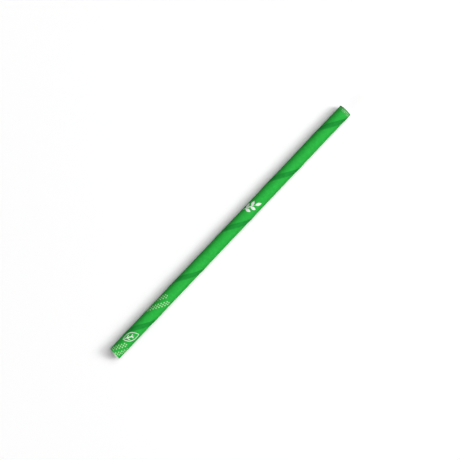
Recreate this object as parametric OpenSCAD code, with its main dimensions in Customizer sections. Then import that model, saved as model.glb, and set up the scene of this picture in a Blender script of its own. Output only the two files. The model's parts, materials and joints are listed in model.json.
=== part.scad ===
// Spiral-wound paper drinking straw, lying along X on the plane z = 0.
// +X points to the end that is cut square, and the other end is cut askew.

/* [Straw] */
// Length between the cut ends, along the longest side
straw_length = 197; // [60:1:300]
// Outside diameter where the outer strip lies single
outside_d = 8; // [5:0.1:12]
// Thickness of the wall, all its strips together
wall = 0.42; // [0.25:0.01:0.8]
// Angle by which the askew cut is off square, seen from above
askew_angle = 7; // [0.5:0.5:20]
// Angle by which the askew cut leans out towards the table
lean_angle = 3; // [0:0.5:15]

/* [Outer strip] */
// Thickness of the outer strip, by which its overlap stands proud
strip_t = 0.1; // [0.06:0.01:0.2]
// Length of straw that one turn of the outer strip covers
winding_pitch = 40.5; // [25:0.5:80]
// Part of each turn on which the outer strip lies on itself
overlap_angle = 45; // [15:1:120]
// Part of each turn in which it comes down over the edge below
ramp_angle = 7; // [3:0.5:12]
// Distance from mid-length to where the overlap crosses the top
overlap_x = 5.4; // [-20:0.1:20]

/* [Hidden] */

outer_r = outside_d / 2;
bore_r = outer_r - wall;
crest_r = outer_r + strip_t;

// Facets of the round tubes in a preview
round_fn = 96;

// Flats round a turn of the overlap, whose middles clear the round strip. One
// lies on the table, so the axis is as high as a flat is far from it.
turn_flats = 16;
flat_angle = 360 / turn_flats;
axis_z = crest_r * cos(flat_angle / 2);

// Depth to which the overlap is fused with the strip below it
fuse_depth = strip_t / 2;

// Directions of the top of the lying straw and of the table, seen along its axis
top_angle = 90;
table_angle = -90;

// Reach of tools that have to clear the tube on every side
reach = 2 * crest_r;

// Whole turns, as many each way from overlap_x as pass both ends
turns_each_way = ceil((straw_length / 2 + abs(overlap_x)) / winding_pitch);
turns = 2 * turns_each_way;

// Size of the blocks that cut the ends off, which clear all the turns
past_end = turns * winding_pitch;

function on_circle(r, angle) = r * [cos(angle), sin(angle)];

// Brings what is drawn round Z to lie along X, on the table
module lay_down() {
    translate([0, 0, axis_z])
        rotate([90, 0, 90])
            children();
}

// Round rod along Z, longer than the straw by extra at each end. The line where
// its surface closes runs underneath.
module long_rod(r, extra) {
    rotate(table_angle)
        cylinder(h = straw_length + 2 * extra, r = r, center = true, $fn = round_fn);
}

// Section of the overlap: a step at its free edge, a crest that stands proud
// by the strip's thickness, and a ramp down over the covered edge
module overlap_section() {
    fused_r = outer_r - fuse_depth;
    flats = ceil(overlap_angle / flat_angle);
    angles = [for (i = [0:flats]) i * overlap_angle / flats];
    polygon(concat(
        [for (i = [0:flats]) on_circle(crest_r, angles[i])],
        [on_circle(fused_r, overlap_angle + ramp_angle)],
        [for (i = [flats:-1:0]) on_circle(fused_r, angles[i])]
    ));
}

// The overlap, wound right-handed, with its middle on top at overlap_x. It
// starts half a flat on, so that a flat and no corner comes to the table.
module overlap_helix() {
    first_x = overlap_x - turns_each_way * winding_pitch;
    first_angle = top_angle - overlap_angle / 2;
    translate([0, 0, first_x + winding_pitch / turn_flats / 2])
        rotate(first_angle + flat_angle / 2)
            linear_extrude(
                height = turns * winding_pitch,
                twist = -360 * turns,
                slices = turns * turn_flats
            )
                overlap_section();
}

// All that lies beyond the askew cut, which passes through the straw's longest
// point, low on the side away from +Y
module beyond_askew_cut() {
    // Distance along X by which the cut draws back for each unit towards +Y
    // and for each unit up
    slope = [tan(askew_angle), tan(lean_angle) / cos(askew_angle)];
    longest = -outer_r * slope / norm(slope);
    translate([-straw_length / 2, longest[0], axis_z + longest[1]])
        rotate([0, lean_angle, -askew_angle])
            translate([-past_end, -past_end / 2, -past_end / 2])
                cube(past_end);
}

// All that lies beyond the square cut
module beyond_square_cut() {
    translate([straw_length / 2, -past_end / 2, axis_z - past_end / 2])
        cube(past_end);
}

// Wound and glued paper tube, cut off at both ends
module straw() {
    color("limegreen")
        difference() {
            lay_down()
                union() {
                    long_rod(outer_r, reach);
                    overlap_helix();
                }
            lay_down()
                long_rod(bore_r, 2 * reach);
            beyond_askew_cut();
            beyond_square_cut();
        }
}

straw();
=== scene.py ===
import json
import math

import bpy
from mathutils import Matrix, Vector


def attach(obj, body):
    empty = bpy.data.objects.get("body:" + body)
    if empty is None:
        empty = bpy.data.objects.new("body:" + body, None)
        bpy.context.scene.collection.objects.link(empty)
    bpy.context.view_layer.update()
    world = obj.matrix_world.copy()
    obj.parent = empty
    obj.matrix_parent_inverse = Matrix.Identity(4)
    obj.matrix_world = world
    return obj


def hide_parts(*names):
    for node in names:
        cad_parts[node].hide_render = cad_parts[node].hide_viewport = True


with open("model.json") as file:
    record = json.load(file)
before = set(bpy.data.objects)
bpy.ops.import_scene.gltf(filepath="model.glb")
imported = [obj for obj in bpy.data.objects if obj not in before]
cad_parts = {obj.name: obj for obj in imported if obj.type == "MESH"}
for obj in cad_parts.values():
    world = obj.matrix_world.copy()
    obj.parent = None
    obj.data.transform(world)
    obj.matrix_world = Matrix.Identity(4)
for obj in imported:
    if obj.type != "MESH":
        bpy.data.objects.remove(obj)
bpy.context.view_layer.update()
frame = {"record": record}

scene = bpy.context.scene
scene.view_settings.view_transform = "Standard"

# The straw: white paper strips wound in a helix and glued into a round tube,
# the last one printed green and lapping over its own edge once a turn. It is
# cut square at one end and a little askew at the other.

MM = 0.001

mounts = {mount["name"]: mount for mount in frame["record"]["mounts"]}
straw_length = mounts["outside"]["dims"]["length_mm"] * MM
outside_radius = mounts["outside"]["dims"]["r_mm"] * MM
bore_radius = mounts["bore"]["dims"]["r_mm"] * MM
strip_thickness = 0.1 * MM
winding_pitch = 40.5 * MM
overlap_turn = math.radians(45)
ramp_turn = math.radians(7)
overlap_crossing = 5.4 * MM
askew_slope = math.tan(math.radians(7))
lean_slope = math.tan(math.radians(3)) / math.cos(math.radians(7))
top_angle = math.radians(90)

# Columns go round the tube from the free edge of the strip, and rows go out
# along the outside, over the square cut, back through the bore and over the
# askew cut
overlap_columns = 12
ramp_columns = 5
plain_columns = 82
last_column = overlap_columns + ramp_columns + plain_columns
outside_rows = 220
cut_rows = 8
all_rows = 2 * (outside_rows + cut_rows)


def feed(tree, socket, value):
    """Wires an input to another node's output, or sets it."""
    if isinstance(value, bpy.types.NodeSocket):
        tree.links.new(value, socket)
    else:
        socket.default_value = value


def put(tree, kind, inputs=None, **settings):
    """Adds a node, with its settings and its inputs by name or number."""
    node = tree.nodes.new(kind)
    for name, value in settings.items():
        setattr(node, name, value)
    for name, value in (inputs or {}).items():
        feed(tree, node.inputs[name], value)
    return node


def calc(tree, operation, *values):
    """One sum, product or other step of arithmetic."""
    return put(tree, "ShaderNodeMath", dict(enumerate(values)), operation=operation).outputs[0]


def ramp(tree, value, start, end, low=0.0, high=1.0, curve="LINEAR"):
    """Goes from low to high while value goes from start to end, and stays there."""
    limits = {"Value": value, "From Min": start, "From Max": end, "To Min": low, "To Max": high}
    return put(tree, "ShaderNodeMapRange", limits, interpolation_type=curve).outputs[0]


winding = bpy.data.node_groups.new("wound_paper_tube", "GeometryNodeTree")
winding.is_modifier = True
winding_sizes = {
    "Length": straw_length,
    "Outside Radius": outside_radius,
    "Bore Radius": bore_radius,
    "Strip Thickness": strip_thickness,
    "Pitch": winding_pitch,
    "Overlap Turn": overlap_turn,
    "Ramp Turn": ramp_turn,
    "Overlap Crossing": overlap_crossing,
    "Askew Slope": askew_slope,
    "Lean Slope": lean_slope,
    "Cut Crown": 0.05 * MM,
    "Cut Roughness": 0.05 * MM,
    "Joint Depth": 0.04 * MM,
}
for size_name in winding_sizes:
    winding.interface.new_socket(size_name, in_out="INPUT", socket_type="NodeSocketFloat")
winding.interface.new_socket("Tube", in_out="OUTPUT", socket_type="NodeSocketGeometry")
given = put(winding, "NodeGroupInput").outputs

sheet = put(winding, "GeometryNodeMeshGrid", {
    "Size X": last_column + 1,
    "Size Y": all_rows,
    "Vertices X": last_column + 2,
    "Vertices Y": all_rows + 1,
})
on_sheet = put(winding, "ShaderNodeSeparateXYZ", {
    "Vector": put(winding, "GeometryNodeInputPosition").outputs[0],
})
column = calc(winding, "ADD", on_sheet.outputs["X"], (last_column + 1) / 2)
row = calc(winding, "ADD", on_sheet.outputs["Y"], all_rows / 2)

# Turn from the free edge, and how proud the strip lies there
overlap_end = overlap_columns
ramp_end = overlap_columns + ramp_columns
plain_turn = calc(winding, "SUBTRACT", 2 * math.pi,
                  calc(winding, "ADD", given["Overlap Turn"], given["Ramp Turn"]))
turn = calc(winding, "ADD", ramp(winding, column, 0, overlap_end, 0, given["Overlap Turn"]),
            calc(winding, "ADD", ramp(winding, column, overlap_end, ramp_end, 0, given["Ramp Turn"]),
                 ramp(winding, column, ramp_end, last_column, 0, plain_turn)))
proud = calc(winding, "ADD", ramp(winding, column, overlap_end, ramp_end, 1, 0, "SMOOTHSTEP"),
             ramp(winding, column, last_column, last_column + 1))

# Share of the way along the straw, and share of the way through the wall
out_end = outside_rows
bore_start = outside_rows + cut_rows
bore_end = 2 * outside_rows + cut_rows
along = calc(winding, "SUBTRACT", ramp(winding, row, 0, out_end),
             ramp(winding, row, bore_start, bore_end))
depth = calc(winding, "SUBTRACT", ramp(winding, row, out_end, bore_start),
             ramp(winding, row, bore_end, all_rows))

# The innermost strip's edges meet in a shallow groove along the bore
joint_column = 58
groove = calc(winding, "MULTIPLY", given["Joint Depth"], calc(
    winding, "MAXIMUM", 0.0, calc(winding, "SUBTRACT", 1.0, calc(
        winding, "ABSOLUTE", calc(winding, "SUBTRACT", column, joint_column)))))
outer_radius = calc(winding, "MULTIPLY_ADD", given["Strip Thickness"], proud, given["Outside Radius"])
inner_radius = calc(winding, "ADD", given["Bore Radius"], groove)
radius = ramp(winding, depth, 0, 1, outer_radius, inner_radius)

# The plies are squeezed at both edges of a cut, so its middle stands out
crown_power = 4.0
off_middle = calc(winding, "ABSOLUTE", calc(winding, "MULTIPLY_ADD", depth, 2.0, -1.0))
drawn_back = calc(winding, "MULTIPLY", given["Cut Crown"],
                  calc(winding, "POWER", off_middle, crown_power))
towards_middle = calc(winding, "MULTIPLY", drawn_back, calc(winding, "MULTIPLY_ADD", along, -2.0, 1.0))

half_length = calc(winding, "MULTIPLY", given["Length"], 0.5)
steepest = calc(winding, "SQRT", calc(
    winding, "ADD", calc(winding, "POWER", given["Askew Slope"], 2.0),
    calc(winding, "POWER", given["Lean Slope"], 2.0)))
longest = calc(winding, "SUBTRACT", calc(winding, "MULTIPLY", steepest, given["Outside Radius"]),
               half_length)
turn_rate = calc(winding, "DIVIDE", 2 * math.pi, given["Pitch"])
edge_at_crossing = calc(winding, "MULTIPLY_ADD", given["Overlap Turn"], -0.5, top_angle)


def angle_at(x):
    """Angle round the axis, from +Y towards the top, of a point that far along."""
    wound = calc(winding, "MULTIPLY", turn_rate, calc(winding, "SUBTRACT", x, given["Overlap Crossing"]))
    return calc(winding, "ADD", calc(winding, "ADD", wound, edge_at_crossing), turn)


def round_axis(x):
    """The point's distances from the axis along Y and up."""
    angle = angle_at(x)
    return (calc(winding, "MULTIPLY", radius, calc(winding, "COSINE", angle)),
            calc(winding, "MULTIPLY", radius, calc(winding, "SINE", angle)))


# Where the askew cut ends a column depends on the column's angle there, which
# the winding turns with x, so x is found in a few rounds
finding_rounds = 4
x = calc(winding, "MULTIPLY", given["Length"], calc(winding, "SUBTRACT", along, 0.5))
for _ in range(finding_rounds):
    y, up = round_axis(x)
    askew_end = calc(winding, "MULTIPLY_ADD", y, given["Askew Slope"],
                     calc(winding, "MULTIPLY_ADD", up, given["Lean Slope"], longest))
    x = calc(winding, "ADD", ramp(winding, along, 0, 1, askew_end, half_length), towards_middle)
y, up = round_axis(x)
placed = put(winding, "ShaderNodeCombineXYZ", {
    "X": x, "Y": y,
    "Z": calc(winding, "ADD", up, calc(
        winding, "ADD", given["Outside Radius"], given["Strip Thickness"])),
}).outputs[0]

# Paper tears a little at a cut, and less at the cut's two edges
whole_edge = 0.2
tear_fineness = 2500.0
at_cut = calc(winding, "MULTIPLY", ramp(winding, depth, 0, whole_edge),
              ramp(winding, depth, 1 - whole_edge, 1, 1, 0))
torn = put(winding, "ShaderNodeTexNoise", {"Vector": placed, "Scale": tear_fineness, "Detail": 3.0})
jag = calc(winding, "MULTIPLY", calc(winding, "MULTIPLY", given["Cut Roughness"], at_cut),
           calc(winding, "SUBTRACT", torn.outputs[0], 0.5))

# Place on the flat strip in millimetres, with the distance from the nearer
# cut, is what the paper's materials read
strip_slant = math.atan(2 * math.pi * outside_radius / winding_pitch)
round_mm = calc(winding, "MULTIPLY", turn, calc(winding, "DIVIDE", given["Outside Radius"], MM))
x_mm = calc(winding, "DIVIDE", x, MM)
strip_along = calc(winding, "MULTIPLY_ADD", round_mm, math.sin(strip_slant),
                   calc(winding, "DIVIDE", x_mm, math.cos(strip_slant)))
strip_across = calc(winding, "MULTIPLY", round_mm, math.cos(strip_slant))
from_cut = calc(winding, "DIVIDE", calc(
    winding, "MINIMUM", calc(winding, "SUBTRACT", x, askew_end),
    calc(winding, "SUBTRACT", half_length, x)), MM)
on_strip = put(winding, "ShaderNodeCombineXYZ", {
    "X": strip_along, "Y": strip_across, "Z": from_cut}).outputs[0]


def keep(geometry, name, kind, domain, value):
    """Keeps a value on the mesh under a name."""
    store = put(winding, "GeometryNodeStoreNamedAttribute", {"Geometry": geometry, "Name": name},
                data_type=kind, domain=domain)
    feed(winding, store.inputs["Value"], value)
    return store.outputs[0]


tube = keep(sheet.outputs["Mesh"], "on_strip", "FLOAT_VECTOR", "CORNER", on_strip)
tube = keep(tube, "wall_depth", "FLOAT", "CORNER", depth)
bare = calc(winding, "GREATER_THAN", row, outside_rows)
tube = keep(tube, "bare_paper", "BOOLEAN", "FACE", bare)
tube = put(winding, "GeometryNodeSetPosition", {
    "Geometry": tube, "Position": placed,
    "Offset": put(winding, "ShaderNodeCombineXYZ", {"X": jag}).outputs[0],
}).outputs[0]
weld_distance = 0.001 * MM
tube = put(winding, "GeometryNodeMergeByDistance", {"Geometry": tube, "Distance": weld_distance}).outputs[0]
tube = put(winding, "GeometryNodeSetShadeSmooth", {"Geometry": tube, "Shade Smooth": True},
           domain="FACE").outputs[0]
sharp_angle = math.radians(35)
edge_angle = put(winding, "GeometryNodeInputMeshEdgeAngle").outputs[0]
sharp = calc(winding, "GREATER_THAN", edge_angle, sharp_angle)
tube = put(winding, "GeometryNodeSetShadeSmooth", {
    "Geometry": tube, "Selection": sharp, "Shade Smooth": False}, domain="EDGE").outputs[0]

# The grain of the paper, for both of its finishes: felted fibres in two
# directions, and the cloudiness of the sheet. Place is in millimetres.
grain = bpy.data.node_groups.new("paper_grain", "ShaderNodeTree")
grain.interface.new_socket("Place", in_out="INPUT", socket_type="NodeSocketVector")
for input_name, value in (("Fibre Contrast", 0.1), ("Cloud Contrast", 0.1), ("Cloud Size", 2.0)):
    grain_socket = grain.interface.new_socket(input_name, in_out="INPUT", socket_type="NodeSocketFloat")
    grain_socket.default_value = value
grain.interface.new_socket("Shade", in_out="OUTPUT", socket_type="NodeSocketFloat")
grain.interface.new_socket("Relief", in_out="OUTPUT", socket_type="NodeSocketFloat")
grain_in = put(grain, "NodeGroupInput").outputs
fibre_lays = (12, -64)
fibre_fineness = (1.1, 9.0, 9.0)
fibre_layers = []
for lay_degrees in fibre_lays:
    laid = put(grain, "ShaderNodeMapping", {
        "Vector": grain_in["Place"],
        "Rotation": (0, 0, math.radians(lay_degrees)),
        "Scale": fibre_fineness,
    })
    fibre_layers.append(put(grain, "ShaderNodeTexNoise", {
        "Vector": laid.outputs[0], "Scale": 1.0, "Detail": 3.0, "Roughness": 0.6}).outputs[0])
felt = calc(grain, "ADD", calc(grain, "MULTIPLY", fibre_layers[0], 0.5),
            calc(grain, "MULTIPLY", fibre_layers[1], 0.5))
cloud_place = put(grain, "ShaderNodeVectorMath", {
    0: grain_in["Place"], "Scale": calc(grain, "DIVIDE", 1.0, grain_in["Cloud Size"]),
}, operation="SCALE").outputs[0]
cloud = put(grain, "ShaderNodeTexNoise", {"Vector": cloud_place, "Scale": 1.0, "Detail": 2.0}).outputs[0]
shade = calc(grain, "ADD", 1.0, calc(
    grain, "ADD",
    calc(grain, "MULTIPLY", grain_in["Fibre Contrast"], calc(grain, "SUBTRACT", felt, 0.5)),
    calc(grain, "MULTIPLY", grain_in["Cloud Contrast"], calc(grain, "SUBTRACT", cloud, 0.5))))
put(grain, "NodeGroupOutput", {"Shade": shade, "Relief": felt})

# A printed leaf: a pointed oval on the flat strip, whose group gives how far
# inside its outline a point is, in millimetres
leaf = bpy.data.node_groups.new("printed_leaf", "ShaderNodeTree")
for input_name in ("Place", "Centre", "Turn", "Half Size"):
    leaf.interface.new_socket(input_name, in_out="INPUT", socket_type="NodeSocketVector")
leaf.interface.new_socket("Inside", in_out="OUTPUT", socket_type="NodeSocketFloat")
leaf_in = put(leaf, "NodeGroupInput").outputs
leaf_place = put(leaf, "ShaderNodeSeparateXYZ", {"Vector": put(leaf, "ShaderNodeMapping", {
    "Vector": leaf_in["Place"], "Location": leaf_in["Centre"],
    "Rotation": leaf_in["Turn"], "Scale": leaf_in["Half Size"],
}, vector_type="TEXTURE").outputs[0]})
leaf_size = put(leaf, "ShaderNodeSeparateXYZ", {"Vector": leaf_in["Half Size"]})
inside = calc(leaf, "SUBTRACT", calc(leaf, "SUBTRACT", 1.0, calc(
    leaf, "POWER", calc(leaf, "ABSOLUTE", leaf_place.outputs["X"]), 2.0)),
    calc(leaf, "ABSOLUTE", leaf_place.outputs["Y"]))
put(leaf, "NodeGroupOutput", {"Inside": calc(leaf, "MULTIPLY", inside, leaf_size.outputs["Y"])})

# A printed border: a short band of small lozenges in staggered rows
border = bpy.data.node_groups.new("printed_border", "ShaderNodeTree")
for input_name in ("Place", "Centre", "Half Size"):
    border.interface.new_socket(input_name, in_out="INPUT", socket_type="NodeSocketVector")
border.interface.new_socket("Lozenge", in_out="OUTPUT", socket_type="NodeSocketFloat")
border_in = put(border, "NodeGroupInput").outputs
lozenge_spacing = 1.28
lozenge_edge = (0.24, 0.32)
lattice = put(border, "ShaderNodeSeparateXYZ", {"Vector": put(border, "ShaderNodeMapping", {
    "Vector": border_in["Place"], "Location": border_in["Centre"],
    "Rotation": (0, 0, math.radians(45)), "Scale": (lozenge_spacing, lozenge_spacing, 1),
}, vector_type="TEXTURE").outputs[0]})
lattice_place = [lattice.outputs[axis] for axis in ("X", "Y")]
nearest = [calc(border, "ROUND", place) for place in lattice_place]
off_centre = [calc(border, "ABSOLUTE", calc(border, "SUBTRACT", place, middle))
              for place, middle in zip(lattice_place, nearest)]
lozenge = ramp(border, calc(border, "MAXIMUM", *off_centre), *lozenge_edge, 1, 0)

# Only whole lozenges, whose middles lie in the border
reach = put(border, "ShaderNodeSeparateXYZ", {"Vector": border_in["Half Size"]})
row_spacing = lozenge_spacing / math.sqrt(2)
within = []
for axis, way in (("X", "SUBTRACT"), ("Y", "ADD")):
    middle = calc(border, "MULTIPLY", calc(border, way, *nearest), row_spacing)
    within.append(calc(border, "LESS_THAN", calc(border, "ABSOLUTE", middle), reach.outputs[axis]))
in_border = calc(border, "MULTIPLY", *within)
put(border, "NodeGroupOutput", {"Lozenge": calc(border, "MULTIPLY", lozenge, in_border)})


def new_material(name):
    """An empty material with its own tree, Principled node and output."""
    material = bpy.data.materials.new(name)
    material.use_nodes = True
    tree = material.node_tree
    tree.nodes.clear()
    surface = tree.nodes.new("ShaderNodeBsdfPrincipled")
    put(tree, "ShaderNodeOutputMaterial", {"Surface": surface.outputs[0]})
    return material, tree, surface


def blend(tree, share, under, over, way="MIX"):
    """Colour that goes from under to over as share goes from 0 to 1."""
    mix = put(tree, "ShaderNodeMix", {0: share, 6: under, 7: over}, data_type="RGBA", blend_type=way)
    return mix.outputs[2]


def shaded(tree, colour, shade_by):
    """Colour made lighter or darker by a factor."""
    return blend(tree, 1.0, colour, shade_by, "MULTIPLY")


# The outside: smooth paper printed solid green, which shows deeper where the
# strip lies double and the green below darkens it
printed, tree, surface = new_material("green_printed_paper")
ink_green = (0.027, 0.448, 0.056, 1)
ink_green_double = (0.014, 0.288, 0.038, 1)
pale_green_ink = (0.43, 0.75, 0.4, 1)
white_ink = (0.86, 0.88, 0.84, 1)
paper_white = (0.84, 0.84, 0.80, 1)

strip_place = put(tree, "ShaderNodeAttribute", attribute_name="on_strip").outputs["Vector"]
strip = put(tree, "ShaderNodeSeparateXYZ", {"Vector": strip_place})
double_width = outside_radius / MM * overlap_turn * math.cos(strip_slant)
fade_before = 0.3
fade_past = 0.5
double_share = ramp(tree, strip.outputs["Y"], double_width - fade_before, double_width + fade_past, 1, 0)
colour = blend(tree, double_share, ink_green, ink_green_double)
texture = put(tree, "ShaderNodeGroup", {
    "Place": strip_place, "Fibre Contrast": 0.55, "Cloud Contrast": 0.32, "Cloud Size": 2.4,
}, node_tree=grain)
colour = shaded(tree, colour, texture.outputs["Shade"])

# At the square cut the blade has left a ring of short pale dashes. The green over the
# last half millimetre before the cut is darkened as painted shade, where the rounded
# rim falls away from the light. Distances from a cut are in millimetres.
on_straw = put(tree, "ShaderNodeSeparateXYZ", {
    "Vector": put(tree, "ShaderNodeTexCoord").outputs["Object"]})
from_cut = strip.outputs["Z"]
at_square_cut = calc(tree, "GREATER_THAN", on_straw.outputs["X"], 0.0)
wear = put(tree, "ShaderNodeTexNoise", {"Vector": strip_place, "Scale": 1.3, "Detail": 3.0}).outputs[0]
dashes_round = 26
dash_edge = (0.26, 0.38)
ring_front = (0.5, 0.7)
ring_back = (1.8, 2.6)
faintest_dash = 0.05
strongest_dash = 0.6
dash_spacing = 2 * math.pi * outside_radius / MM / dashes_round
round_place = put(tree, "ShaderNodeSeparateXYZ", {"Vector": put(tree, "ShaderNodeMapping", {
    "Vector": strip_place, "Rotation": (0, 0, strip_slant - math.radians(90)),
}).outputs[0]})
dash_place = calc(tree, "DIVIDE", round_place.outputs["X"], dash_spacing)
dash = ramp(tree, calc(tree, "PINGPONG", dash_place, 0.5), *dash_edge)
dash_ring = calc(tree, "MULTIPLY", ramp(tree, from_cut, *ring_front), ramp(tree, from_cut, *ring_back, 1, 0))
dashed = calc(tree, "MULTIPLY", calc(tree, "MULTIPLY", dash, dash_ring), at_square_cut)
dash_strength = ramp(tree, wear, 0.38, 0.6, faintest_dash, strongest_dash)
colour = blend(tree, calc(tree, "MULTIPLY", dashed, dash_strength), colour, paper_white)
# Painted shade: the green darkens over the last half millimetre before the square cut
rim_shade_edge = (0.3, 0.55)
rim_shade_factor = 0.6
rim_painted_shade = calc(tree, "MULTIPLY", ramp(tree, from_cut, *rim_shade_edge, 1, 0), at_square_cut)
colour = shaded(tree, colour, ramp(tree, rim_painted_shade, 0, 1, 1, rim_shade_factor))

# The askew cut has torn the green back to white paper, except on the +Y side
torn_width = 0.5
torn_unevenness = 0.7
torn_side = (-0.5 * MM, 2.5 * MM)
at_askew_cut = calc(tree, "LESS_THAN", on_straw.outputs["X"], 0.0)
torn_back = calc(tree, "MULTIPLY_ADD", calc(tree, "SUBTRACT", wear, 0.5), torn_unevenness, torn_width)
bare_edge = calc(tree, "MULTIPLY", calc(tree, "LESS_THAN", from_cut, torn_back), calc(
    tree, "MULTIPLY", at_askew_cut, ramp(tree, on_straw.outputs["Y"], *torn_side, 1, 0)))
colour = blend(tree, bare_edge, colour, paper_white)

# Print in pale green and white: four borders, a sprig and an outlined leaf,
# placed and sized in millimetres on the flat strip
borders = (
    ((-62.4, 13.6, 0), (7.4, 1.35, 1)),
    ((-62.4, 9.2, 0), (7.4, 1.35, 1)),
    ((-105.0, 13.4, 0), (6.7, 1.35, 1)),
    ((-104.0, 9.4, 0), (5.6, 1.35, 1)),
)
for centre, half_size in borders:
    lozenges = put(tree, "ShaderNodeGroup", {
        "Place": strip_place, "Centre": centre, "Half Size": half_size}, node_tree=border).outputs[0]
    colour = blend(tree, lozenges, colour, pale_green_ink)


def leaf_inside(centre, turn_degrees, half_length_mm, half_width_mm):
    """How far inside one printed leaf each point of the strip is."""
    return put(tree, "ShaderNodeGroup", {
        "Place": strip_place,
        "Centre": (*centre, 0),
        "Turn": (0, 0, math.radians(turn_degrees)),
        "Half Size": (half_length_mm, half_width_mm, 1),
    }, node_tree=leaf).outputs[0]


ink_edge = 0.08
sprig_start = Vector((25.4, 14.0))
stem_half_length = 4.6
stem_half_width = 0.32
stem = leaf_inside(sprig_start + Vector((stem_half_length, 0)), 0, stem_half_length, stem_half_width)
white_share = ramp(tree, stem, 0, ink_edge)
sprig_leaves = ((2.6, 50, 1.9), (3.2, -50, 1.9), (5.8, 46, 1.8), (6.4, -46, 1.8), (8.6, 0, 2.0))
sprig_leaf_half_width = 0.95
off_stem = 0.2
for up_stem, turn_degrees, half_leaf in sprig_leaves:
    way = Vector((math.cos(math.radians(turn_degrees)), math.sin(math.radians(turn_degrees))))
    middle = sprig_start + Vector((up_stem, 0)) + way * (half_leaf + off_stem)
    sprig_leaf = leaf_inside(middle, turn_degrees, half_leaf, sprig_leaf_half_width)
    white_share = calc(tree, "MAXIMUM", white_share, ramp(tree, sprig_leaf, 0, ink_edge))
outlined = leaf_inside((-95.0, 5.6), 0, 5.2, 2.7)
line_width = 0.42
outline_share = calc(tree, "MULTIPLY", ramp(tree, outlined, 0, ink_edge),
                     ramp(tree, outlined, line_width, line_width + ink_edge, 1, 0))
white_share = calc(tree, "MAXIMUM", white_share, outline_share)
veins = (
    ((-96.2, 5.6), 0, 3.6, 0.36),
    ((-96.6, 6.5), 42, 1.25, 0.3),
    ((-96.6, 4.7), -42, 1.25, 0.3),
    ((-94.0, 6.3), 42, 1.0, 0.26),
    ((-94.0, 4.9), -42, 1.0, 0.26),
)
for middle, turn_degrees, half_vein, half_width in veins:
    vein = leaf_inside(middle, turn_degrees, half_vein, half_width)
    white_share = calc(tree, "MAXIMUM", white_share, ramp(tree, vein, 0, ink_edge))
colour = blend(tree, white_share, colour, white_ink)

matt_roughness = (0.88, 0.96)
green_sheen = (0.18, 1.0, 0.22, 1)
feed(tree, surface.inputs["Base Color"], colour)
feed(tree, surface.inputs["Roughness"], ramp(tree, wear, 0.3, 0.7, *matt_roughness))
surface.inputs["Specular IOR Level"].default_value = 0.4
surface.inputs["Specular Tint"].default_value = green_sheen
raised = put(tree, "ShaderNodeBump", {
    "Strength": 1.0, "Distance": 0.06 * MM, "Height": texture.outputs["Relief"]})
feed(tree, surface.inputs["Normal"], raised.outputs[0])

# The cuts and the bore: plain white paper, with fine lines of glue between the
# strips at the cuts
core, tree, surface = new_material("white_core_paper")
strip_place = put(tree, "ShaderNodeAttribute", attribute_name="on_strip").outputs["Vector"]
strip = put(tree, "ShaderNodeSeparateXYZ", {"Vector": strip_place})
wall_depth = put(tree, "ShaderNodeAttribute", attribute_name="wall_depth").outputs["Fac"]
texture = put(tree, "ShaderNodeGroup", {
    "Place": strip_place, "Fibre Contrast": 0.4, "Cloud Contrast": 0.15, "Cloud Size": 3.0,
}, node_tree=grain)
colour = shaded(tree, paper_white, texture.outputs["Shade"])
strips_in_wall = 4
glue_edge = (0.06, 0.14)
outermost = (0.1, 0.12)
innermost = (0.88, 0.9)
glue_colour = (0.52, 0.48, 0.38, 1)
glue_strength = 0.6
glue_line = calc(tree, "PINGPONG", calc(tree, "MULTIPLY", wall_depth, strips_in_wall), 0.5)
between_strips = calc(tree, "MULTIPLY", ramp(tree, wall_depth, *outermost),
                      ramp(tree, wall_depth, *innermost, 1, 0))
glued = calc(tree, "MULTIPLY", ramp(tree, glue_line, *glue_edge, 1, 0), between_strips)
colour = blend(tree, calc(tree, "MULTIPLY", glued, glue_strength), colour, glue_colour)

# The groove in the bore shows a darker line
joint_turn = overlap_turn + ramp_turn + (2 * math.pi - overlap_turn - ramp_turn) * (
    joint_column - ramp_end) / plain_columns
joint_across = outside_radius / MM * joint_turn * math.cos(strip_slant)
joint_edge = (0.08, 0.16)
joint_strength = 0.45
off_joint = calc(tree, "ABSOLUTE", calc(tree, "SUBTRACT", strip.outputs["Y"], joint_across))
in_bore = ramp(tree, wall_depth, 0.9, 1)
joint_line = calc(tree, "MULTIPLY", in_bore, ramp(tree, off_joint, *joint_edge, joint_strength, 0))
colour = blend(tree, joint_line, colour, glue_colour)
feed(tree, surface.inputs["Base Color"], colour)
surface.inputs["Roughness"].default_value = 0.85
surface.inputs["Specular IOR Level"].default_value = 0.25
raised = put(tree, "ShaderNodeBump", {
    "Strength": 1.0, "Distance": 0.08 * MM, "Height": texture.outputs["Relief"]})
feed(tree, surface.inputs["Normal"], raised.outputs[0])

tube = put(winding, "GeometryNodeRealizeInstances", {"Geometry": tube}).outputs[0]
tube = put(winding, "GeometryNodeSetMaterial", {"Geometry": tube, "Material": printed}).outputs[0]
is_bare = put(winding, "GeometryNodeInputNamedAttribute", {"Name": "bare_paper"}, data_type="BOOLEAN")
tube = put(winding, "GeometryNodeSetMaterial", {
    "Geometry": tube, "Selection": is_bare.outputs["Attribute"], "Material": core}).outputs[0]
put(winding, "NodeGroupOutput", {"Tube": tube})

straw = bpy.data.objects.new("straw_tube", bpy.data.meshes.new("straw_tube"))
scene.collection.objects.link(straw)
wind = straw.modifiers.new("wind", "NODES")
wind.node_group = winding
for socket in winding.interface.items_tree:
    if socket.in_out == "INPUT":
        wind[socket.identifier] = winding_sizes[socket.name]
evaluated = straw.evaluated_get(bpy.context.evaluated_depsgraph_get())
wound_mesh = bpy.data.meshes.new_from_object(evaluated)
straw.modifiers.remove(wind)
straw.data = wound_mesh
wound_mesh.name = "straw_tube"
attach(straw, "root")
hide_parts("straw")

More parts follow.
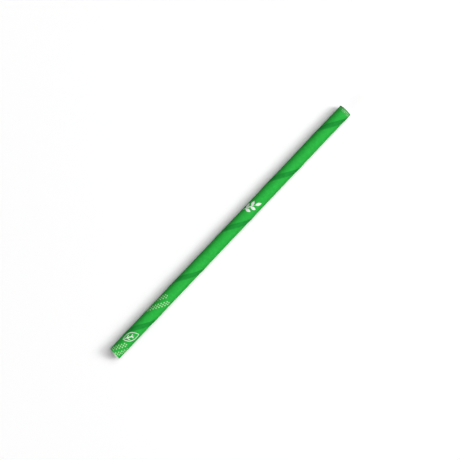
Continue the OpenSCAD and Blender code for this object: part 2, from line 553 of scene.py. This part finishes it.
# The floor: a plain white table, which keeps the straw's shadow and further
# out glows as the background does. Only the camera and reflections see it
# white, so that it throws little light back up.
floor_half = 1.5
floor_mesh = bpy.data.meshes.new("floor")
floor_mesh.from_pydata([(-floor_half, -floor_half, 0), (floor_half, -floor_half, 0),
                        (floor_half, floor_half, 0), (-floor_half, floor_half, 0)], [], [(0, 1, 2, 3)])
floor = bpy.data.objects.new("floor", floor_mesh)
scene.collection.objects.link(floor)
floor_paint, tree, surface = new_material("white_floor")
floor_mesh.materials.append(floor_paint)
floor_white = (1, 1, 1, 1)
floor_grey = (0.08, 0.08, 0.08, 1)
surface.inputs["Roughness"].default_value = 0.9
surface.inputs["Specular IOR Level"].default_value = 0.0
surface.inputs["Emission Color"].default_value = floor_white


def seen_share(tree):
    """1 for what the camera sees by itself, in a reflection or through glass, and else 0."""
    rays = put(tree, "ShaderNodeLightPath").outputs
    return calc(tree, "MAXIMUM", rays["Is Camera Ray"], calc(
        tree, "MAXIMUM", rays["Is Glossy Ray"], rays["Is Transmission Ray"]))


seen = seen_share(tree)
shadow_reach = 0.12
glow_reach = 0.36
from_middle = put(tree, "ShaderNodeVectorMath", {
    0: put(tree, "ShaderNodeTexCoord").outputs["Object"]}, operation="LENGTH").outputs["Value"]
far_away = ramp(tree, from_middle, shadow_reach, glow_reach)
unlit = (0, 0, 0, 1)
lit_white = blend(tree, far_away, floor_white, unlit)
feed(tree, surface.inputs["Base Color"], blend(tree, seen, floor_grey, lit_white))
floor_lift = 0.028
feed(tree, surface.inputs["Emission Strength"], calc(
    tree, "MULTIPLY", seen, ramp(tree, far_away, 0, 1, floor_lift, 1.0)))

# The room: a faint white glow, a broad soft box overhead and a smaller one to
# the side away from +Y, both standing towards the square end, and a weak one
# low behind the askew end
room = bpy.data.worlds.new("room")
scene.world = room
room.use_nodes = True
tree = room.node_tree
tree.nodes.clear()
room_glow = 0.04
glow = put(tree, "ShaderNodeBackground", {
    "Color": (1, 1, 1, 1), "Strength": ramp(tree, seen_share(tree), 0, 1, room_glow, 1.0)})
put(tree, "ShaderNodeOutputWorld", {"Surface": glow.outputs[0]})

lamps = (
    ("overhead_box", (1.55, -0.45, 3.25), 3.45, 105.0),
    ("side_box", (2.75, -2.52, 3.0), 1.85, 119.0),
    ("end_box", (-2.8, 0, 0.9), 1.6, 24.0),
)
for lamp_name, place, width, power in lamps:
    lamp_light = bpy.data.lights.new(lamp_name, "AREA")
    lamp_light.shape = "SQUARE"
    lamp_light.size = width
    lamp_light.energy = power
    lamp = bpy.data.objects.new(lamp_name, lamp_light)
    scene.collection.objects.link(lamp)
    lamp.location = place
    lamp.rotation_euler = (-lamp.location).to_track_quat("-Z", "Y").to_euler()

# The camera: straight above, turned so that the straw lies towards the upper
# right
camera_height = 0.6
picture_width = 0.2696
straw_turn = math.radians(46.55)
picture_middle = (1.2 * MM, 0.83 * MM)
camera_data = bpy.data.cameras.new("camera")
camera = bpy.data.objects.new("camera", camera_data)
scene.collection.objects.link(camera)
scene.camera = camera
camera.location = (*picture_middle, camera_height)
camera.rotation_euler = (0, 0, -straw_turn)
camera_data.sensor_width = 36.0
camera_data.lens = camera_data.sensor_width * (camera_height - outside_radius) / picture_width
